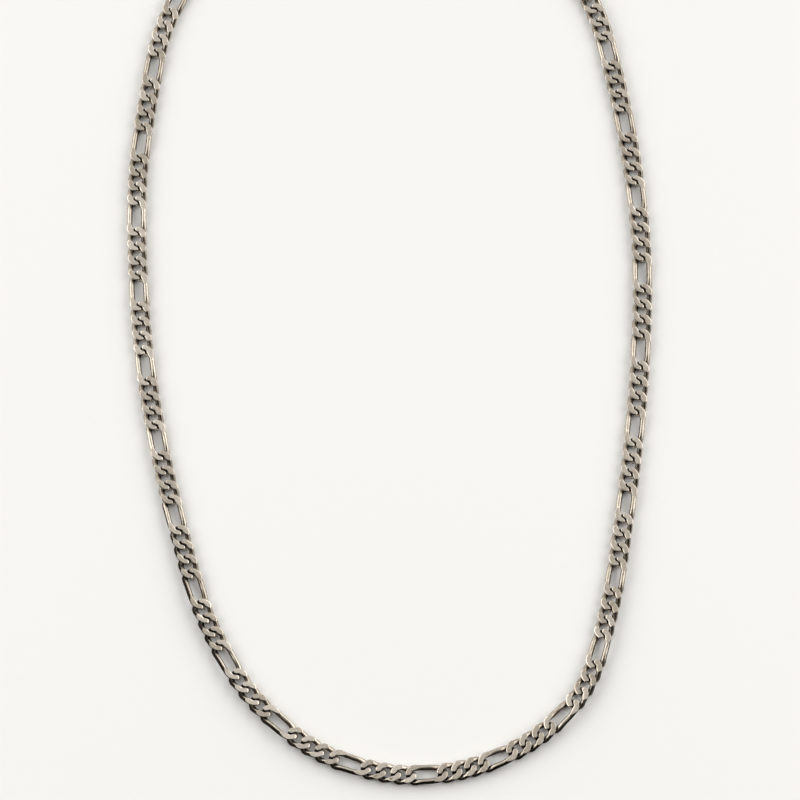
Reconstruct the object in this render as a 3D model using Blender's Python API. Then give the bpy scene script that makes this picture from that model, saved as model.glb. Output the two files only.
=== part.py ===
"""Figaro neck chain, lying flat as one closed loop.

Three short links follow each long one. Every link is a round wire bent into an oval, twisted
so that its two ends lean opposite ways, and ground flat on both faces. The links bear on each
other and make two strands, which hang loose in each other at the front and in the clasp behind.

Frame in metres: +Z up, the chain lies on Z = 0, +Y points to the clasp, the origin is under the
middle of the loop.
"""
import math

import bmesh
import bpy
import numpy as np
from mathutils import Matrix, Vector

# The whole necklace
LOOP_LENGTH = 0.610
CHAIN_WIDTH = 0.00485
FACE_THICKNESS = 0.0017
WIRE = 0.00125
END_TWIST = math.radians(50.0)

# Its links: the pitch is what one link adds to the chain's length
SHORT_PITCH = 0.00387
LONG_PITCH = 0.00820
LONG_TWIST_POWER = 2.2
SHORTS_PER_LONG = 3
LINKS_BEFORE_FIRST_LONG = 1

# Its clasp, closed: an oblong claw, thick on one side and thin on the other
CLASP_PITCH = 0.0126
CLASP_BODY_WIDTH = 0.0026
CLASP_BODY_SHARE = 0.8
CLASP_HEIGHT = 0.0022

# How pieces meet
BEARING = 0.00006
LOOSE_GAP = 0.00025

# Mesh: sides of a wire, and stations round each end bend of a link
WIRE_SIDES = 5
BEND_STEPS = 4
CLASP_LEG_CUTS = 9
ROUTE_STEPS = 40

# Route of the chain's middle line on the surface, in millimetres, anticlockwise from above.
# It starts at the clasp, goes down the left side, round the front and up the right side.
CLASP_SHIFT = 0.0
CHAIN_ROUTE_MM = [
    (-16.0, 118.5), (-40.5, 105.5), (-56.5, 79.0), (-61.5, 56.5), (-64.0, 33.5),
    (-63.5, 10.0), (-61.5, -13.0), (-57.5, -36.0), (-52.0, -58.5), (-45.0, -80.5),
    (-33.0, -100.5), (-15.0, -114.5), (7.5, -119.5), (30.0, -114.0), (47.5, -99.5),
    (55.0, -78.0), (59.0, -55.0), (62.0, -32.0), (64.0, -8.5), (64.5, 14.5),
    (62.5, 37.5), (58.5, 60.5), (52.0, 83.0), (36.0, 105.5), (11.5, 118.5),
]

# How the lying chain is rolled about its own length, in degrees: share of the loop, roll.
# A positive roll lifts the inner side.
CHAIN_ROLLS = [
    (0.00, 0.0), (0.14, 0.0), (0.20, 4.0), (0.30, -3.0), (0.35, -10.0), (0.43, -11.0),
    (0.49, -7.0), (0.53, -9.0), (0.55, -15.0), (0.61, -8.0), (0.66, 0.0), (0.76, 3.0),
    (0.86, -6.0), (0.90, 5.0), (0.94, 0.0), (1.00, 0.0),
]

# How far the links lie ahead of an even spacing, where the chain is drawn out or bunched up:
# share of the loop, millimetres.
CHAIN_DRAW_MM = [
    (0.00, 0.0), (0.12, 0.2), (0.16, 0.9), (0.38, 0.6), (0.42, 1.7), (0.45, 2.2),
    (0.48, 1.7), (0.52, 0.0), (0.58, -0.6), (0.62, -1.8), (0.65, -2.2), (0.72, -1.6),
    (0.78, -0.6), (0.84, -0.6), (1.00, 0.0),
]

BEND_RADIUS = (CHAIN_WIDTH - WIRE) / 2.0
BEARING_STEP = WIRE - BEARING
LOOSE_STEP = WIRE + LOOSE_GAP


def clear_scene():
    for old in list(bpy.data.objects):
        bpy.data.objects.remove(old, do_unlink=True)


def metal(name, colour, roughness):
    material = bpy.data.materials.new(name)
    material.use_nodes = True
    shader = material.node_tree.nodes["Principled BSDF"]
    shader.inputs["Base Color"].default_value = (*colour, 1.0)
    shader.inputs["Metallic"].default_value = 1.0
    shader.inputs["Roughness"].default_value = roughness
    return material


class Route:
    """The closed middle line, sampled by its own length and scaled to the loop's length."""

    def __init__(self, points_mm, length):
        knots = np.array(points_mm)
        before, after, beyond = (np.roll(knots, shift, axis=0) for shift in (1, -1, -2))
        samples = []
        for step in range(ROUTE_STEPS):
            t = step / ROUTE_STEPS
            samples.append(0.5 * (2.0 * knots + (after - before) * t
                                  + (2.0 * before - 5.0 * knots + 4.0 * after - beyond) * t ** 2
                                  + (3.0 * (knots - after) + beyond - before) * t ** 3))
        line = np.stack(samples, axis=1).reshape(-1, 2)
        line = np.vstack([line, line[:1]])
        run = np.concatenate([[0.0], np.cumsum(np.linalg.norm(np.diff(line, axis=0), axis=1))])
        self.length = length
        self.run = run * length / run[-1]
        line = line * length / run[-1]
        self.line = line - (line.min(axis=0) + line.max(axis=0)) / 2.0

    def reading(self, table, distance):
        """Value of a table of shares of the loop at a distance along it."""
        return float(np.interp(distance % self.length / self.length, *zip(*table)))

    def roll(self, distance):
        return math.radians(self.reading(CHAIN_ROLLS, distance))

    def drawn(self, distance):
        """Where a link end lies that an even spacing would put at this distance."""
        return distance + self.reading(CHAIN_DRAW_MM, distance) * 0.001

    def point(self, distance):
        """Middle of the chain there, lifted so that a rolled chain still lies on the surface."""
        along = distance % self.length
        roll = self.roll(distance)
        lift = FACE_THICKNESS / 2.0 * math.cos(roll) + BEND_RADIUS * abs(math.sin(roll))
        return Vector((float(np.interp(along, self.run, self.line[:, 0])),
                       float(np.interp(along, self.run, self.line[:, 1])), lift))

    def place(self, distance, pitch):
        """Matrix of a link that spans its pitch there: X along the chain, Z out of its face."""
        start = self.point(distance - pitch / 2.0)
        end = self.point(distance + pitch / 2.0)
        along = (end - start).normalized()
        up = Matrix.Rotation(self.roll(distance), 3, along) @ Vector((0.0, 0.0, 1.0))
        across = up.cross(along).normalized()
        up = along.cross(across)
        turn = Matrix((along, across, up)).transposed().to_4x4()
        return Matrix.Translation((start + end) / 2.0) @ turn


def oval(length, leg_cuts):
    """A straight, untwisted link along X: two half rings of wire bridged by its two legs."""
    bm = bmesh.new()
    leg_end = length / 2.0 - BEND_RADIUS
    section = bmesh.ops.create_circle(bm, segments=WIRE_SIDES, radius=WIRE / 2.0)["verts"]
    bmesh.ops.rotate(bm, verts=section, matrix=Matrix.Rotation(math.pi / 2.0, 3, "Y"))
    bmesh.ops.translate(bm, verts=section, vec=(leg_end, -BEND_RADIUS, 0.0))
    bmesh.ops.spin(bm, geom=bm.verts[:] + bm.edges[:], cent=(leg_end, 0.0, 0.0),
                   axis=(0.0, 0.0, 1.0), angle=math.pi, steps=BEND_STEPS)
    copy = bmesh.ops.duplicate(bm, geom=bm.verts[:] + bm.edges[:] + bm.faces[:])["geom"]
    copied = [item for item in copy if isinstance(item, bmesh.types.BMVert)]
    bmesh.ops.rotate(bm, verts=copied, matrix=Matrix.Rotation(math.pi, 3, "Z"))
    for side in (1.0, -1.0):
        rims = [edge for edge in bm.edges if edge.is_boundary and edge.verts[0].co.y * side > 0.0]
        bmesh.ops.bridge_loops(bm, edges=rims)
    for cut in range(1, leg_cuts + 1):
        across = leg_end * (2.0 * cut / (leg_cuts + 1) - 1.0)
        bmesh.ops.bisect_plane(bm, geom=bm.verts[:] + bm.edges[:] + bm.faces[:],
                               plane_co=(across, 0.0, 0.0), plane_no=(1.0, 0.0, 0.0))
    return bm


def twist_and_grind(bm, length, power, floor, ceiling):
    """Turn the two ends of a link opposite ways, then bring its faces down to the flats.

    The power keeps the twist of a long link near its ends, so that its legs lie flat.
    """
    for vert in bm.verts:
        share = abs(vert.co.x) / (length / 2.0)
        turn = -math.copysign(END_TWIST * share ** power, vert.co.x)
        vert.co = Matrix.Rotation(turn, 3, "X") @ vert.co
        vert.co.z = min(max(vert.co.z, floor), ceiling)
    bmesh.ops.recalc_face_normals(bm, faces=bm.faces[:])


def finished_mesh(bm, name):
    mesh = bpy.data.meshes.new(name)
    bm.to_mesh(mesh)
    bm.free()
    return mesh


def seat(mesh):
    """Lift a placed link just enough that no part of it is under the surface."""
    lowest = min(vert.co.z for vert in mesh.vertices)
    mesh.transform(Matrix.Translation((0.0, 0.0, max(0.0, -lowest))))


def link_mesh(pitch, is_long):
    length = pitch + BEARING_STEP
    bm = oval(length, 0)
    power = LONG_TWIST_POWER if is_long else 1.0
    twist_and_grind(bm, length, power, -FACE_THICKNESS / 2.0, FACE_THICKNESS / 2.0)
    return finished_mesh(bm, "link")


def clasp_mesh():
    """A closed claw: a long link whose one leg swells into a plain body."""
    length = CLASP_PITCH + LOOSE_STEP
    leg_end = length / 2.0 - BEND_RADIUS
    reach = leg_end * CLASP_BODY_SHARE
    bm = oval(length, CLASP_LEG_CUTS)
    swell = CLASP_BODY_WIDTH / WIRE - 1.0
    for vert in bm.verts:
        if vert.co.y > 0.0 and abs(vert.co.x) < reach:
            size = 1.0 + swell * (1.0 - (vert.co.x / reach) ** 4)
            vert.co.y = BEND_RADIUS + (vert.co.y - BEND_RADIUS) * size
            vert.co.z *= size
    twist_and_grind(bm, length, LONG_TWIST_POWER, -FACE_THICKNESS / 2.0,
                    CLASP_HEIGHT - FACE_THICKNESS / 2.0)
    return finished_mesh(bm, "clasp")


def place_links(route):
    """Every link round the loop as (pitch, is it long, its matrix), from the clasp on."""
    clasp_room = CLASP_PITCH
    group = SHORTS_PER_LONG + 1
    group_pitch = SHORTS_PER_LONG * SHORT_PITCH + LONG_PITCH
    groups = round((route.length - clasp_room) / group_pitch)
    slack = LOOSE_STEP - BEARING_STEP
    fit = (route.length - clasp_room + slack) / (groups * group_pitch)
    count = groups * group
    middle = count // 2
    links = []
    here = CLASP_SHIFT + clasp_room / 2.0
    for index in range(count):
        is_long = index % group == LINKS_BEFORE_FIRST_LONG
        pitch = (LONG_PITCH if is_long else SHORT_PITCH) * fit
        if index == middle:
            here -= slack
        start, end = route.drawn(here), route.drawn(here + pitch)
        links.append((end - start, is_long, route.place((start + end) / 2.0, end - start)))
        here += pitch
    return links, middle


def strand(name, links, material):
    """One fused strand: every second link joined to the others where they bear."""
    halves = []
    for first in (0, 1):
        bm = bmesh.new()
        for pitch, is_long, matrix in links[first::2]:
            one = link_mesh(pitch, is_long)
            one.transform(matrix)
            seat(one)
            bm.from_mesh(one)
            bpy.data.meshes.remove(one)
        halves.append(bpy.data.objects.new(name, finished_mesh(bm, name)))
        bpy.context.scene.collection.objects.link(halves[-1])
    kept, other = halves
    other.name = name + "_every_second"
    other.display_type = "WIRE"
    other.hide_render = True
    fuse = kept.modifiers.new("fuse", "BOOLEAN")
    fuse.operation = "UNION"
    fuse.solver = "EXACT"
    fuse.object = other
    kept.data.materials.append(material)
    other.data.materials.append(material)
    return kept


def build():
    clear_scene()
    silver = metal("worn silver", (0.72, 0.68, 0.61), 0.28)
    clasp_silver = metal("clasp silver", (0.70, 0.66, 0.60), 0.25)
    route = Route(CHAIN_ROUTE_MM, LOOP_LENGTH)
    links, middle = place_links(route)
    strand("chain_left", links[:middle], silver)
    strand("chain_right", links[middle:], silver)
    clasp = bpy.data.objects.new("clasp", clasp_mesh())
    clasp.data.transform(route.place(CLASP_SHIFT, CLASP_PITCH))
    seat(clasp.data)
    clasp.data.materials.append(clasp_silver)
    bpy.context.scene.collection.objects.link(clasp)


build()
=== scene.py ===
import math
import random

import bmesh
import bpy
import numpy as np
from mathutils import Matrix, Vector, noise
from mathutils.bvhtree import BVHTree
from mathutils.geometry import intersect_line_line_2d


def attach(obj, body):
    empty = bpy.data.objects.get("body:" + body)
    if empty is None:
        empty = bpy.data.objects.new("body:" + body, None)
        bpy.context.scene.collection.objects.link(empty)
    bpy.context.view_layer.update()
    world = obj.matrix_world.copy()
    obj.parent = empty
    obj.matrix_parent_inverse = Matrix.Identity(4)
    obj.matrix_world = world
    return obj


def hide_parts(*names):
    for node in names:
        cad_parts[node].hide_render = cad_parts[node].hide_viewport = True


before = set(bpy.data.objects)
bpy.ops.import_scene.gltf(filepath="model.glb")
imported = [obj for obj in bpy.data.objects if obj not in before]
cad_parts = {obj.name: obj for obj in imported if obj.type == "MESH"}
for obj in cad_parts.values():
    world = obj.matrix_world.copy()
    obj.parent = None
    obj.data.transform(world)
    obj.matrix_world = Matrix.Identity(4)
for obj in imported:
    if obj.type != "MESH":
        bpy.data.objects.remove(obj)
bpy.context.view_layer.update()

# The lay of the chain
# The chain was put down by hand as one closed loop on its ground faces. The places of its links
# follow a smooth line through a few points, anticlockwise from the clasp, and roll a little.
MILLIMETRE = 0.001
CHAIN_ROUTE = [Vector((x, y)) * MILLIMETRE for x, y in (
    (-16.0, 118.5), (-40.5, 105.5), (-56.5, 79.0), (-61.5, 56.5), (-64.0, 33.5),
    (-63.5, 10.0), (-61.5, -13.0), (-57.5, -36.0), (-52.0, -58.5), (-45.0, -80.5),
    (-33.0, -100.5), (-15.0, -114.5), (7.5, -119.5), (30.0, -114.0), (47.5, -99.5),
    (55.0, -78.0), (59.0, -55.0), (62.0, -32.0), (64.0, -8.5), (64.5, 14.5),
    (62.5, 37.5), (58.5, 60.5), (52.0, 83.0), (36.0, 105.5), (11.5, 118.5),
)]
# Share of the loop and roll in degrees.
CHAIN_ROLLS = [
    (0.00, 0.0), (0.14, 0.0), (0.20, 4.0), (0.30, -3.0), (0.35, -10.0), (0.43, -11.0),
    (0.49, -7.0), (0.53, -9.0), (0.55, -15.0), (0.61, -8.0), (0.66, 0.0), (0.76, 3.0),
    (0.86, -6.0), (0.90, 5.0), (0.94, 0.0), (1.00, 0.0),
]
# Share of the loop and how far the links are drawn along it there.
CHAIN_DRAW_MM = [
    (0.00, 0.0), (0.12, 0.2), (0.16, 0.9), (0.38, 0.6), (0.42, 1.7), (0.45, 2.2),
    (0.48, 1.7), (0.52, 0.0), (0.58, -0.6), (0.62, -1.8), (0.65, -2.2), (0.72, -1.6),
    (0.78, -0.6), (0.84, -0.6), (1.00, 0.0),
]
LOOP_LENGTH = 0.610
ROUTE_STEPS = 40
CHAIN_WIDTH = 0.00485
FACE_THICKNESS = 0.0017
WIRE = 0.00125
BEND_RADIUS = (CHAIN_WIDTH - WIRE) / 2.0


def lay_line():
    """Points of a smooth closed line through the route, and how far along it each of them lies."""
    knots = np.array(CHAIN_ROUTE)
    before, after, beyond = (np.roll(knots, shift, axis=0) for shift in (1, -1, -2))
    samples = []
    for step in range(ROUTE_STEPS):
        t = step / ROUTE_STEPS
        samples.append(0.5 * (2.0 * knots + (after - before) * t
                              + (2.0 * before - 5.0 * knots + 4.0 * after - beyond) * t ** 2
                              + (3.0 * (knots - after) + beyond - before) * t ** 3))
    line = np.stack(samples, axis=1).reshape(-1, 2)
    line = np.vstack([line, line[:1]])
    run = np.concatenate([[0.0], np.cumsum(np.linalg.norm(np.diff(line, axis=0), axis=1))])
    scale = LOOP_LENGTH / run[-1]
    line = line * scale
    return line - (line.min(axis=0) + line.max(axis=0)) / 2.0, run * scale


route_line, route_run = lay_line()


def lie_reading(table, distance):
    """Value of a table of shares of the loop at a distance along it."""
    return float(np.interp(distance % LOOP_LENGTH / LOOP_LENGTH, *zip(*table)))


def lie_roll(distance):
    return math.radians(lie_reading(CHAIN_ROLLS, distance))


def lie_drawn(distance):
    """Where a link end lies that an even spacing would put at this distance."""
    return distance + lie_reading(CHAIN_DRAW_MM, distance) * MILLIMETRE


def lie_point(distance):
    """The middle of the chain at a distance, lifted so that a rolled chain still rests on the floor."""
    along = distance % LOOP_LENGTH
    roll = lie_roll(distance)
    lift = FACE_THICKNESS / 2.0 * math.cos(roll) + BEND_RADIUS * abs(math.sin(roll))
    return Vector((float(np.interp(along, route_run, route_line[:, 0])),
                   float(np.interp(along, route_run, route_line[:, 1])), lift))


def lie_place(distance, pitch, extra_roll=0.0):
    """Where a link lies: X along the chain, Z out of its upper face."""
    start = lie_point(distance - pitch / 2.0)
    end = lie_point(distance + pitch / 2.0)
    along = (end - start).normalized()
    up = Matrix.Rotation(lie_roll(distance) + extra_roll, 3, along) @ Vector((0.0, 0.0, 1.0))
    across = up.cross(along).normalized()
    up = along.cross(across)
    turn = Matrix((along, across, up)).transposed().to_4x4()
    return Matrix.Translation((start + end) / 2.0) @ turn


# The link
# Silver wire, bent into an oval, closed and twisted so that its ends lean opposite ways. The
# finished chain is pressed and ground on both faces, which leaves a leaf-shaped flat at each end.
END_TWIST = math.radians(50.0)
LONG_TWIST_POWER = 2.2      # above 1 the twist gathers near the ends and leaves the legs straight
PRESSED_WIRE = 0.00136
PRESS_SPREAD = 0.24
BEND_FULLNESS = 0.60        # below 1 a bend is squarer than a half ring
BEARING = 0.00006           # how far plain wire presses into the next link
WIRE_SIDES = 24
BEND_STEPS = 18
LONG_LEG_CUTS = 11
SHORT_LEG_CUTS = 2
RIM_DROP = 0.00004
RIM_WIDTH = 0.00005
RIM_SPACING = 0.00004       # corners of a rim that lie closer than this become one
RIM_REACH = 2               # corners each way that give a rim its direction
CROWN_RISE = 0.00004
CROWN_WIDTH = 0.00026
CROWN_SHARE = 0.3           # most of a narrow flat's breadth that one side of its crown takes
CROWN_REACH = 3             # corners each way whose room a crown keeps to
SIDE_TARNISH = 0.2          # share of the hollows' tarnish on any upright side


def wire_oval(length, leg_cuts):
    """A straight link along X: two half rings of wire with full corners, bridged by its legs."""
    bm = bmesh.new()
    leg_end = length / 2.0 - BEND_RADIUS
    section = bmesh.ops.create_circle(bm, segments=WIRE_SIDES,
                                       radius=PRESSED_WIRE / 2.0)["verts"]
    bmesh.ops.rotate(bm, verts=section, matrix=Matrix.Rotation(math.pi / 2.0, 3, "Y"))
    bmesh.ops.translate(bm, verts=section, vec=(leg_end, -BEND_RADIUS, 0.0))
    bmesh.ops.spin(bm, geom=bm.verts[:] + bm.edges[:], cent=(leg_end, 0.0, 0.0),
                   axis=(0.0, 0.0, 1.0), angle=math.pi, steps=BEND_STEPS)
    for vert in bm.verts:
        out = Vector((vert.co.x - leg_end, vert.co.y)).normalized()
        full = [math.copysign(abs(part) ** BEND_FULLNESS, part) for part in out]
        vert.co += Vector((full[0] - out.x, full[1] - out.y, 0.0)) * BEND_RADIUS
    copy = bmesh.ops.duplicate(bm, geom=bm.verts[:] + bm.edges[:] + bm.faces[:])["geom"]
    copied = [item for item in copy if isinstance(item, bmesh.types.BMVert)]
    bmesh.ops.rotate(bm, verts=copied, matrix=Matrix.Rotation(math.pi, 3, "Z"))
    for side in (1.0, -1.0):
        rims = [edge for edge in bm.edges if edge.is_boundary and edge.verts[0].co.y * side > 0.0]
        bmesh.ops.bridge_loops(bm, edges=rims)
    for cut in range(1, leg_cuts + 1):
        across = leg_end * (2.0 * cut / (leg_cuts + 1) - 1.0)
        bmesh.ops.bisect_plane(bm, geom=bm.verts[:] + bm.edges[:] + bm.faces[:],
                               plane_co=(across, 0.0, 0.0), plane_no=(1.0, 0.0, 0.0))
    return bm


def away_from_bend(point, leg_end):
    """The nearest point of the line that an oval is bent round, and the way out from it."""
    bend = Vector((max(-leg_end, min(leg_end, point.x)), 0.0, 0.0))
    return bend, (Vector((point.x, point.y, 0.0)) - bend).normalized()


def twist_and_press(bm, length, twist_power):
    """Turn the two ends opposite ways, then let the press spread the wire where it stood high."""
    leg_end = length / 2.0 - BEND_RADIUS

    def turned(point):
        twist = END_TWIST * (abs(point.x) / (length / 2.0)) ** twist_power
        return Matrix.Rotation(-math.copysign(twist, point.x), 3, "X") @ point

    for vert in bm.verts:
        bend, outward = away_from_bend(vert.co, leg_end)
        middle = turned(bend + outward * BEND_RADIUS)
        place = turned(vert.co)
        excess = max(0.0, abs(middle.z) + PRESSED_WIRE / 2.0 - FACE_THICKNESS / 2.0)
        spread = 1.0 + PRESS_SPREAD * (excess / (PRESSED_WIRE / 2.0))
        place.x = middle.x + (place.x - middle.x) * spread
        place.y = middle.y + (place.y - middle.y) * spread
        vert.co = place


def crown_flat(bm, flat, direction):
    """Raise the middle of a flat a little, and less where the flat is narrow."""
    bmesh.ops.inset_region(bm, faces=[flat], thickness=0.0)
    flat.normal_update()
    corners = flat.verts[:]
    count = len(corners)
    inward, room = [], []
    for index, vert in enumerate(corners):
        rim = corners[(index + RIM_REACH) % count].co - corners[index - RIM_REACH].co
        inward.append(flat.normal.cross(rim.normalized()))
        far = (vert.co + inward[-1] * CHAIN_WIDTH).xy
        across = [intersect_line_line_2d(vert.co.xy, far, corners[other].co.xy,
                                         corners[(other + 1) % count].co.xy)
                  for other in range(count) if other not in (index, (index - 1) % count)]
        room.append(min([(hit - vert.co.xy).length for hit in across if hit] or [0.0]))
    for index, vert in enumerate(corners):
        narrowest = min(room[(index + step) % count]
                        for step in range(-CROWN_REACH, CROWN_REACH + 1))
        width = min(CROWN_WIDTH, narrowest * CROWN_SHARE)
        vert.co += inward[index] * width + direction * CROWN_RISE * width / CROWN_WIDTH


def grind_face(bm, direction, level):
    """Cut the flats that face in a direction, soften the rims round them and crown them."""
    bmesh.ops.bisect_plane(bm, geom=bm.verts[:] + bm.edges[:] + bm.faces[:],
                           plane_co=direction * (level - RIM_DROP - CROWN_RISE),
                           plane_no=direction, clear_outer=True)
    bmesh.ops.remove_doubles(bm, verts=[vert for vert in bm.verts if vert.is_boundary],
                             dist=RIM_SPACING)
    rims = [edge for edge in bm.edges if edge.is_boundary]
    flats = bmesh.ops.holes_fill(bm, edges=rims, sides=0)["faces"]
    bmesh.ops.inset_region(bm, faces=flats, thickness=RIM_WIDTH, use_even_offset=False)
    for flat in flats:
        flat.material_index = 1
        bmesh.ops.translate(bm, verts=flat.verts, vec=direction * RIM_DROP)
        crown_flat(bm, flat, direction)


def grind_faces(bm, bottom, top):
    grind_face(bm, Vector((0.0, 0.0, 1.0)), top)
    grind_face(bm, Vector((0.0, 0.0, -1.0)), -bottom)


def mark_tarnish_and_painted_reflection(bm, leg_end, flank_painted_reflection):
    """How far each point faces into the link's opening, where no polishing wheel reaches, and
    how dark a reflection is painted on the flank that faces out of the loop."""
    bm.normal_update()
    hollow = bm.verts.layers.float.new("hollow")
    flank = bm.verts.layers.float.new("flank")
    for vert in bm.verts:
        outward = away_from_bend(vert.co, leg_end)[1]
        inward = max(0.0, -vert.normal.dot(outward))
        vert[hollow] = inward + SIDE_TARNISH * (1.0 - abs(vert.normal.z))
        vert[flank] = flank_painted_reflection * max(0.0, -vert.normal.y) if vert.co.y < 0.0 else 0.0


def finished_mesh(bm, name):
    mesh = bpy.data.meshes.new(name)
    bm.to_mesh(mesh)
    bm.free()
    return mesh


def link_mesh(pitch, is_long, flank_painted_reflection):
    length = pitch + WIRE - BEARING
    bm = wire_oval(length, LONG_LEG_CUTS if is_long else SHORT_LEG_CUTS)
    twist_and_press(bm, length, LONG_TWIST_POWER if is_long else 1.0)
    own = bm.verts.layers.float_vector.new("own_place")
    for vert in bm.verts:
        vert[own] = vert.co
    grind_faces(bm, -FACE_THICKNESS / 2.0, FACE_THICKNESS / 2.0)
    bmesh.ops.recalc_face_normals(bm, faces=bm.faces[:])
    mark_tarnish_and_painted_reflection(bm, length / 2.0 - BEND_RADIUS, flank_painted_reflection)
    return finished_mesh(bm, "link")


# The chain's metal
# Warm silver-tone metal, polished once and dull now: near-black tarnish with painted contact shade
# where links touch, a painted dark reflection on the flanks that face out of the loop near the front,
# brown tarnish in the hollows, fine scratches, and cloudy patches and pits, most of all on the flats.
GROUND_SILVER = (0.71, 0.655, 0.58, 1.0)
WIRE_SILVER = (0.61, 0.555, 0.475, 1.0)
DULL_SILVER = (0.37, 0.322, 0.262, 1.0)
BROWN_TARNISH = (0.085, 0.058, 0.036, 1.0)
# Near-black: tarnish where links touch, with painted contact shade there, and the painted dark
# reflection on the outer flanks.
BLACK_TARNISH_AND_PAINTED_DARK = (0.018, 0.013, 0.009, 1.0)
# How fine each pattern is, as its scale, and how it is squeezed along the link, across and up.
CLOUD_SCALE = 1500.0
CLOUD_SQUEEZE = (1.0, 1.8, 1.0)
RAGGED_SCALE = 2600.0
PIT_SCALE = 3600.0
GRAIN_SCALE = 6500.0
SCRATCH_SCALE = 1700.0
SCRATCH_SQUEEZE = (1.0, 7.0, 1.0)
WAVE_SCALE = 500.0
NO_SQUEEZE = (1.0, 1.0, 1.0)
# Where each pattern begins and where it is full.
CLOUD_EDGE = (0.36, 0.74)
BROWN_EDGE = (0.72, 1.12)
CREVICE_EDGE = (0.30, 0.66)
# The flank edge is where the painted dark reflection on the outer flank begins and where it is full.
FLANK_EDGE = (0.27, 0.45)
PIT_EDGE = (0.34, 0.1)
PIT_CHOICE_WIDTH = 0.02
PITTED_TONE = (0.3, 1.1)
SCRATCH_EDGE = (0.45, 0.62)
# How much each pattern does.
TONE_DULLNESS = 0.55
RAGGEDNESS = 0.5
CREVICE_RAGGEDNESS = 0.6
FLANK_RAGGEDNESS = 0.3
PIT_STAIN = 0.8
CLOUD_ROUGHNESS = 0.08
TARNISH_ROUGHNESS = 0.22
GRAIN_DEPTH = 0.04
PIT_DEPTH = 1.5
WAVE_DEPTH = 6.0
RELIEF_STRENGTH = 0.3
RELIEF_DEPTH = 0.00003


def add_node(tree, kind, inputs=None, **settings):
    """A node with its settings, and its inputs, by name or place, linked or set."""
    node = tree.nodes.new(kind)
    for name, value in settings.items():
        setattr(node, name, value)
    for name, value in (inputs or {}).items():
        if isinstance(value, bpy.types.NodeSocket):
            tree.links.new(value, node.inputs[name])
        else:
            node.inputs[name].default_value = value
    return node


def ramp(tree, source, edge):
    """Rises smoothly from 0 to 1 as the source goes from the first value of an edge to the second."""
    node = add_node(tree, "ShaderNodeMapRange",
                    {"Value": source, "From Min": edge[0], "From Max": edge[1]},
                    interpolation_type="SMOOTHSTEP")
    return node.outputs["Result"]


def blend_colour(tree, amount, first, second):
    inputs = {0: amount, 6: first, 7: second}
    return add_node(tree, "ShaderNodeMix", inputs, data_type="RGBA").outputs[2]


def maths(tree, operation, first, second):
    return add_node(tree, "ShaderNodeMath", {0: first, 1: second}, operation=operation).outputs[0]


def own_value(tree, name):
    return add_node(tree, "ShaderNodeAttribute", attribute_name=name).outputs["Fac"]


def own_coordinates(tree, squeeze):
    """Each link's own place, moved on by a number of its own, so that no two links are alike."""
    place = add_node(tree, "ShaderNodeAttribute", attribute_name="own_place")
    shifted = add_node(tree, "ShaderNodeVectorMath",
                       {0: place.outputs["Vector"], 1: own_value(tree, "tone")}, operation="ADD")
    mapped = add_node(tree, "ShaderNodeMapping",
                      {"Vector": shifted.outputs["Vector"], "Scale": squeeze})
    return mapped.outputs["Vector"]


def noise_value(tree, scale, detail=3.0, squeeze=NO_SQUEEZE):
    node = add_node(tree, "ShaderNodeTexNoise", {"Vector": own_coordinates(tree, squeeze),
                                                 "Scale": scale, "Detail": detail})
    return node.outputs["Fac"]


def pit_value(tree, tone, pit_share):
    """Small round pits in a share of the cells of a pattern, and more of them in duller links."""
    cells = add_node(tree, "ShaderNodeTexVoronoi",
                     {"Vector": own_coordinates(tree, NO_SQUEEZE), "Scale": PIT_SCALE})
    draw = add_node(tree, "ShaderNodeSeparateColor", {"Color": cells.outputs["Color"]})
    chosen = ramp(tree, draw.outputs["Red"], (1.0 - pit_share, 1.0 - pit_share + PIT_CHOICE_WIDTH))
    pit = maths(tree, "MULTIPLY", chosen, ramp(tree, cells.outputs["Distance"], PIT_EDGE))
    return maths(tree, "MULTIPLY", pit, ramp(tree, tone, PITTED_TONE))


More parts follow.
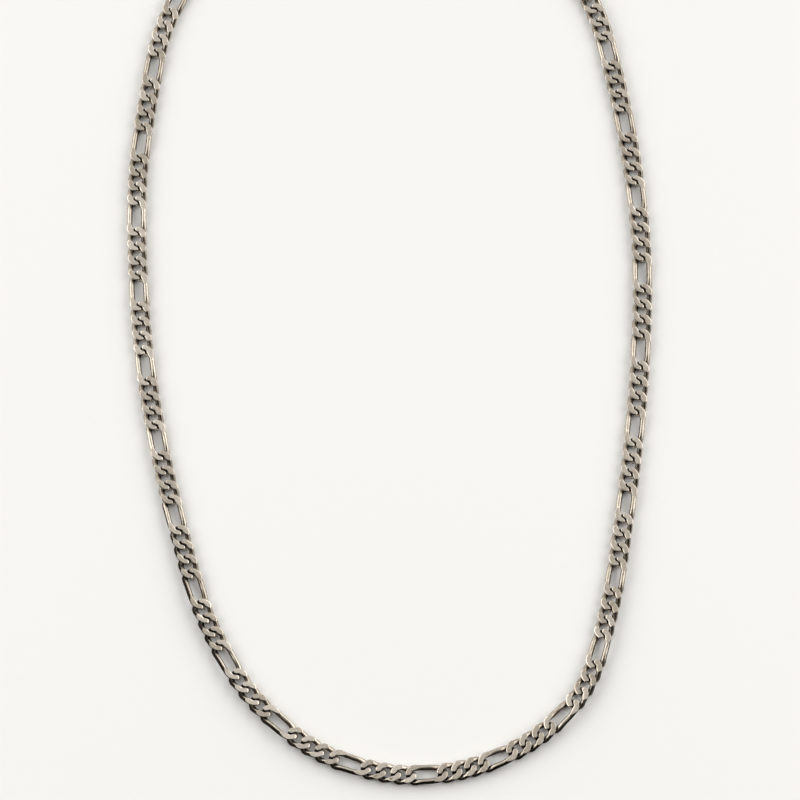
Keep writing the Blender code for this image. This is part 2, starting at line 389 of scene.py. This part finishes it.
def silver_material(name, silver, tarnish_and_painted_dark_share, roughness, cloudiness, scratch_depth, pit_share):
    material = bpy.data.materials.new(name)
    material.use_nodes = True
    tree = material.node_tree
    shader = tree.nodes["Principled BSDF"]
    tone, hollow, crevice, flank = (own_value(tree, each)
                                    for each in ("tone", "hollow", "crevice", "flank"))

    cloud_noise = noise_value(tree, CLOUD_SCALE, detail=4.0, squeeze=CLOUD_SQUEEZE)
    clouds = ramp(tree, cloud_noise, CLOUD_EDGE)
    dullness = maths(tree, "ADD", maths(tree, "MULTIPLY", clouds, cloudiness),
                     maths(tree, "MULTIPLY", tone, TONE_DULLNESS))
    colour = blend_colour(tree, dullness, silver, DULL_SILVER)

    ragged = maths(tree, "MULTIPLY", noise_value(tree, RAGGED_SCALE), RAGGEDNESS)
    brown = ramp(tree, maths(tree, "ADD", hollow, ragged), BROWN_EDGE)
    # Where links touch: tarnish, darkened further as painted contact shade.
    touching = maths(tree, "ADD", crevice, maths(tree, "MULTIPLY", ragged, CREVICE_RAGGEDNESS))
    # On the flank that faces out of the loop: a painted dark reflection of the dark room in front.
    outer = maths(tree, "ADD", flank, maths(tree, "MULTIPLY", ragged, FLANK_RAGGEDNESS))
    black_tarnish_and_painted_dark = maths(tree, "MAXIMUM", ramp(tree, touching, CREVICE_EDGE), ramp(tree, outer, FLANK_EDGE))
    # How much of the near-black goes on: tarnish, painted contact shade and painted dark reflection.
    black_tarnish_and_painted_dark = maths(tree, "MULTIPLY", black_tarnish_and_painted_dark, tarnish_and_painted_dark_share)
    pit = pit_value(tree, tone, pit_share)
    stain = maths(tree, "MAXIMUM", brown, maths(tree, "MULTIPLY", pit, PIT_STAIN))
    colour = blend_colour(tree, stain, colour, BROWN_TARNISH)
    colour = blend_colour(tree, black_tarnish_and_painted_dark, colour, BLACK_TARNISH_AND_PAINTED_DARK)
    tree.links.new(colour, shader.inputs["Base Color"])
    shader.inputs["Metallic"].default_value = 1.0

    tarnish_and_painted_dark = maths(tree, "MAXIMUM", brown, black_tarnish_and_painted_dark)
    rough = maths(tree, "ADD", maths(tree, "MULTIPLY", clouds, CLOUD_ROUGHNESS), roughness)
    rough = maths(tree, "ADD", rough, maths(tree, "MULTIPLY", tarnish_and_painted_dark, TARNISH_ROUGHNESS))
    tree.links.new(rough, shader.inputs["Roughness"])

    scratch_noise = noise_value(tree, SCRATCH_SCALE, detail=4.0, squeeze=SCRATCH_SQUEEZE)
    scratches = ramp(tree, scratch_noise, SCRATCH_EDGE)
    grain = noise_value(tree, GRAIN_SCALE, detail=2.0)
    waves = noise_value(tree, WAVE_SCALE, detail=1.0)
    height = maths(tree, "ADD", maths(tree, "MULTIPLY", scratches, scratch_depth),
                   maths(tree, "MULTIPLY", grain, GRAIN_DEPTH))
    height = maths(tree, "SUBTRACT", height, maths(tree, "MULTIPLY", pit, PIT_DEPTH))
    height = maths(tree, "ADD", height, maths(tree, "MULTIPLY", waves, WAVE_DEPTH))
    relief = add_node(tree, "ShaderNodeBump", {"Height": height, "Strength": RELIEF_STRENGTH,
                                               "Distance": RELIEF_DEPTH})
    tree.links.new(relief.outputs["Normal"], shader.inputs["Normal"])
    return material


round_wire_silver = silver_material("round wire silver", WIRE_SILVER, tarnish_and_painted_dark_share=1.0, roughness=0.26,
                                    cloudiness=0.25, scratch_depth=0.04, pit_share=0.02)
ground_face_silver = silver_material("ground face silver", GROUND_SILVER, tarnish_and_painted_dark_share=0.3, roughness=0.16,
                                     cloudiness=0.42, scratch_depth=0.03, pit_share=0.06)

# The two strands
# Three short links follow each long one, 120 in all with the clasp behind. The left strand and
# the right one are interlocked link by link and hang loose in each other at the front.
SHORT_PITCH = 0.00387
LONG_PITCH = 0.00820
SHORTS_PER_LONG = 3
LINKS_BEFORE_FIRST_LONG = 1
CLASP_PITCH = 0.0126
LOOSE_GAP = 0.00025         # play between the two strands at the front
ROLL_PLAY = math.radians(1.6)
PLAY_SEED = 5
# How far the near-black of touching links reaches: tarnish there, and painted contact shade.
CREVICE_REACH = 0.0007
DENT_SIZE = 0.000012
DENTS_PER_METRE = 900.0
SHARP_ANGLE = math.radians(32.0)
# Share of the loop and how black the painted dark reflection is on the flank that faces out of it.
FLANK_PAINTED_REFLECTION = [
    (0.00, 0.0), (0.29, 0.0), (0.32, 0.7), (0.35, 1.6), (0.46, 1.6), (0.475, 0.9),
    (0.52, 0.8), (0.55, 0.4), (0.70, 0.1), (1.00, 0.0),
]
# Share of the loop and how much duller and more pitted the links are.
WEAR = [
    (0.00, 0.3), (0.12, 0.35), (0.18, 0.1), (0.46, 0.1), (0.52, 0.45), (0.58, 0.4),
    (0.64, 0.0), (0.70, 0.0), (0.76, 0.35), (0.84, 0.5), (0.90, 0.3), (1.00, 0.3),
]


def link_row():
    """Every link from the clasp on: pitch, is it long, painted flank reflection, dullness and place."""
    group = SHORTS_PER_LONG + 1
    group_pitch = SHORTS_PER_LONG * SHORT_PITCH + LONG_PITCH
    groups = round((LOOP_LENGTH - CLASP_PITCH) / group_pitch)
    slack = LOOSE_GAP + BEARING
    fit = (LOOP_LENGTH - CLASP_PITCH + slack) / (groups * group_pitch)
    count = groups * group
    play = random.Random(PLAY_SEED)
    row = []
    here = CLASP_PITCH / 2.0
    for index in range(count):
        is_long = index % group == LINKS_BEFORE_FIRST_LONG
        pitch = (LONG_PITCH if is_long else SHORT_PITCH) * fit
        if index == count // 2:
            here -= slack
        start, end = lie_drawn(here), lie_drawn(here + pitch)
        place = lie_place((start + end) / 2.0, end - start, play.uniform(-ROLL_PLAY, ROLL_PLAY))
        tone = play.random() + lie_reading(WEAR, here)
        row.append((end - start, is_long, lie_reading(FLANK_PAINTED_REFLECTION, here), tone, place))
        here += pitch
    return row


def placed_link(pitch, is_long, flank_painted_reflection, tone, place):
    """One link at its place, lifted where its roll would take it into the floor."""
    one = link_mesh(pitch, is_long, flank_painted_reflection)
    tones = one.attributes.new("tone", "FLOAT", "POINT")
    tones.data.foreach_set("value", [tone] * len(one.vertices))
    one.transform(place)
    lowest = min(vert.co.z for vert in one.vertices)
    one.transform(Matrix.Translation((0.0, 0.0, max(0.0, -lowest))))
    return one


def mark_crevices(placed):
    """How near each point is to the next links, where tarnish gathers and contact shade is painted."""
    surfaces = [BVHTree.FromPolygons([vert.co for vert in one.vertices],
                                     [tuple(face.vertices) for face in one.polygons])
                for one in placed]
    for index, one in enumerate(placed):
        beside = [surfaces[index - 1], surfaces[(index + 1) % len(placed)]]
        near = []
        for vert in one.vertices:
            found = [surface.find_nearest(vert.co, CREVICE_REACH)[3] for surface in beside]
            gap = min([distance for distance in found if distance is not None] or [CREVICE_REACH])
            near.append(1.0 - gap / CREVICE_REACH)
        one.attributes.new("crevice", "FLOAT", "POINT").data.foreach_set("value", near)


def metal_piece(name, mesh):
    mesh.shade_smooth()
    mesh.set_sharp_from_angle(angle=SHARP_ANGLE)
    mesh.materials.append(round_wire_silver)
    mesh.materials.append(ground_face_silver)
    piece = bpy.data.objects.new(name, mesh)
    bpy.context.scene.collection.objects.link(piece)
    return piece


def strand(name, placed):
    """Half of the chain as one piece, with fine dents all over."""
    bm = bmesh.new()
    for one in placed:
        bm.from_mesh(one)
        bpy.data.meshes.remove(one)
    bm.normal_update()
    for vert in bm.verts:
        vert.co += vert.normal * DENT_SIZE * noise.noise(vert.co * DENTS_PER_METRE)
    return metal_piece(name, finished_mesh(bm, name))


links = [placed_link(*link) for link in link_row()]
mark_crevices(links)
half = len(links) // 2
left_strand = strand("left_strand", links[:half])
right_strand = strand("right_strand", links[half:])
for piece, node in ((left_strand, "chain_left"), (right_strand, "chain_right")):
    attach(piece, "root")
    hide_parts(node)

# The clasp
# A plain closed claw behind the neck, cast in the same metal: an oblong ring whose one leg is a
# thick smooth body. The end link of each strand hangs in it.
CLASP_BODY_WIDTH = 0.0026
CLASP_BODY_SHARE = 0.8
CLASP_HEIGHT = 0.0022
CLASP_LEG_CUTS = 31
CLASP_PLAY = 0.00048
CLASP_TONE = 0.5
SWELL_POWER = 4             # a high power keeps the body thick almost to its ends


def clasp_mesh():
    length = CLASP_PITCH + PRESSED_WIRE + CLASP_PLAY
    leg_end = length / 2.0 - BEND_RADIUS
    reach = leg_end * CLASP_BODY_SHARE
    full_swell = CLASP_BODY_WIDTH / PRESSED_WIRE - 1.0
    bm = wire_oval(length, CLASP_LEG_CUTS)
    own = bm.verts.layers.float_vector.new("own_place")
    tone = bm.verts.layers.float.new("tone")
    for vert in bm.verts:
        if vert.co.y > 0.0 and abs(vert.co.x) < reach:
            swell = full_swell * (1.0 - (vert.co.x / reach) ** SWELL_POWER)
            vert.co.y = BEND_RADIUS + (vert.co.y - BEND_RADIUS) * (1.0 + swell)
            vert.co.z *= 1.0 + swell
    twist_and_press(bm, length, LONG_TWIST_POWER)
    for vert in bm.verts:
        vert[own] = vert.co
        vert[tone] = CLASP_TONE
    grind_faces(bm, -FACE_THICKNESS / 2.0, CLASP_HEIGHT - FACE_THICKNESS / 2.0)
    bmesh.ops.recalc_face_normals(bm, faces=bm.faces[:])
    mark_tarnish_and_painted_reflection(bm, leg_end, 0.0)
    return finished_mesh(bm, "clasp_claw")


claw_mesh = clasp_mesh()
claw_mesh.transform(lie_place(0.0, CLASP_PITCH))
clasp_claw = metal_piece("clasp_claw", claw_mesh)
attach(clasp_claw, "root")
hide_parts("clasp")

# The floor
# A plain pale matt surface like paper, far larger than the chain, that lies a hair below the
# flats that the chain rests on.
FLOOR_SIZE = 3.0
FLOOR_DROP = 0.00002
FLOOR_COLOUR = (0.93, 0.928, 0.92, 1.0)
FLOOR_ROUGHNESS = 0.9
FLOOR_SHINE = 0.1
floor_bm = bmesh.new()
bmesh.ops.create_grid(floor_bm, x_segments=1, y_segments=1, size=FLOOR_SIZE / 2.0)
bmesh.ops.translate(floor_bm, verts=floor_bm.verts[:], vec=(0.0, 0.0, -FLOOR_DROP))
floor = bpy.data.objects.new("floor", finished_mesh(floor_bm, "floor"))
bpy.context.scene.collection.objects.link(floor)
floor_paint = bpy.data.materials.new("pale floor")
floor_paint.use_nodes = True
floor_shader = floor_paint.node_tree.nodes["Principled BSDF"]
floor_shader.inputs["Base Color"].default_value = FLOOR_COLOUR
floor_shader.inputs["Roughness"].default_value = FLOOR_ROUGHNESS
floor_shader.inputs["Specular IOR Level"].default_value = FLOOR_SHINE
floor.data.materials.append(floor_paint)

# The light
# A round light tent, with a pale roof, brighter walls and a duller foot, that opens in front on a
# dark room. Two square softboxes stand behind the chain, and one on each side of it.
ROOF_COLOUR = (0.90, 0.89, 0.87, 1.0)
WALL_COLOUR = (1.30, 1.29, 1.265, 1.0)
FOOT_COLOUR = (0.80, 0.78, 0.75, 1.0)
FRONT_COLOUR = (0.012, 0.011, 0.010, 1.0)
# Where one part fades into the next, by how far up or how far back a direction points.
FOOT_EDGE = (0.20, 0.35)
ROOF_EDGE = (0.44, 0.60)
FRONT_EDGE = (0.08, -0.18)
SOFTBOX_DISTANCE = 1.15
SOFTBOX_SIZE = 0.80
SOFTBOX_COLOUR = (1.0, 0.98, 0.95)
world = bpy.data.worlds.new("studio")
bpy.context.scene.world = world
world.use_nodes = True
tent = world.node_tree
tent_direction = add_node(tent, "ShaderNodeTexCoord").outputs["Generated"]
tent_parts = add_node(tent, "ShaderNodeSeparateXYZ", {"Vector": tent_direction})
tent_height = tent_parts.outputs["Z"]
tent_colour = blend_colour(tent, ramp(tent, tent_height, FOOT_EDGE), FOOT_COLOUR, WALL_COLOUR)
tent_colour = blend_colour(tent, ramp(tent, tent_height, ROOF_EDGE), tent_colour, ROOF_COLOUR)
tent_front = ramp(tent, tent_parts.outputs["Y"], FRONT_EDGE)
tent_colour = blend_colour(tent, tent_front, tent_colour, FRONT_COLOUR)
backdrop = tent.nodes["Background"]
tent.links.new(tent_colour, backdrop.inputs["Color"])
backdrop.inputs["Strength"].default_value = 1.0


def softbox(name, bearing, elevation, power):
    """A square softbox at a bearing from straight behind, anticlockwise, in degrees."""
    light = bpy.data.lights.new(name, "AREA")
    light.shape = "SQUARE"
    light.size = SOFTBOX_SIZE
    light.energy = power
    light.color = SOFTBOX_COLOUR
    lamp = bpy.data.objects.new(name, light)
    turn, rise = math.radians(bearing), math.radians(elevation)
    lamp.location = SOFTBOX_DISTANCE * Vector((-math.sin(turn) * math.cos(rise),
                                               math.cos(turn) * math.cos(rise), math.sin(rise)))
    lamp.rotation_euler = lamp.location.to_track_quat("Z", "Y").to_euler()
    bpy.context.scene.collection.objects.link(lamp)


softbox("back left softbox", bearing=55.0, elevation=30.0, power=2.8)
softbox("back right softbox", bearing=-55.0, elevation=30.0, power=2.8)
softbox("left softbox", bearing=100.0, elevation=34.0, power=4.2)
softbox("right softbox", bearing=-100.0, elevation=34.0, power=4.2)

# The camera
# It looks down on the lying chain from in front, tilted fifteen degrees from straight above, and
# far enough away that the chain narrows only a little towards the back.
CAMERA_ELEVATION = math.radians(75.0)
CAMERA_DISTANCE = 1.2
CAMERA_AIM = Vector((0.0028, -0.0237, 0.0))
FRAME_WIDTH_AT_AIM = 0.2028
SENSOR_WIDTH_MM = 36.0
NEAREST_SEEN = 0.01
camera_data = bpy.data.cameras.new("camera")
camera_data.sensor_width = SENSOR_WIDTH_MM
camera_data.lens = SENSOR_WIDTH_MM * CAMERA_DISTANCE / FRAME_WIDTH_AT_AIM
camera_data.clip_start = NEAREST_SEEN
camera = bpy.data.objects.new("camera", camera_data)
away = Vector((0.0, -math.cos(CAMERA_ELEVATION), math.sin(CAMERA_ELEVATION)))
camera.location = CAMERA_AIM + away * CAMERA_DISTANCE
camera.rotation_euler = away.to_track_quat("Z", "Y").to_euler()
bpy.context.scene.collection.objects.link(camera)
bpy.context.scene.camera = camera
bpy.context.scene.view_settings.view_transform = "Standard"
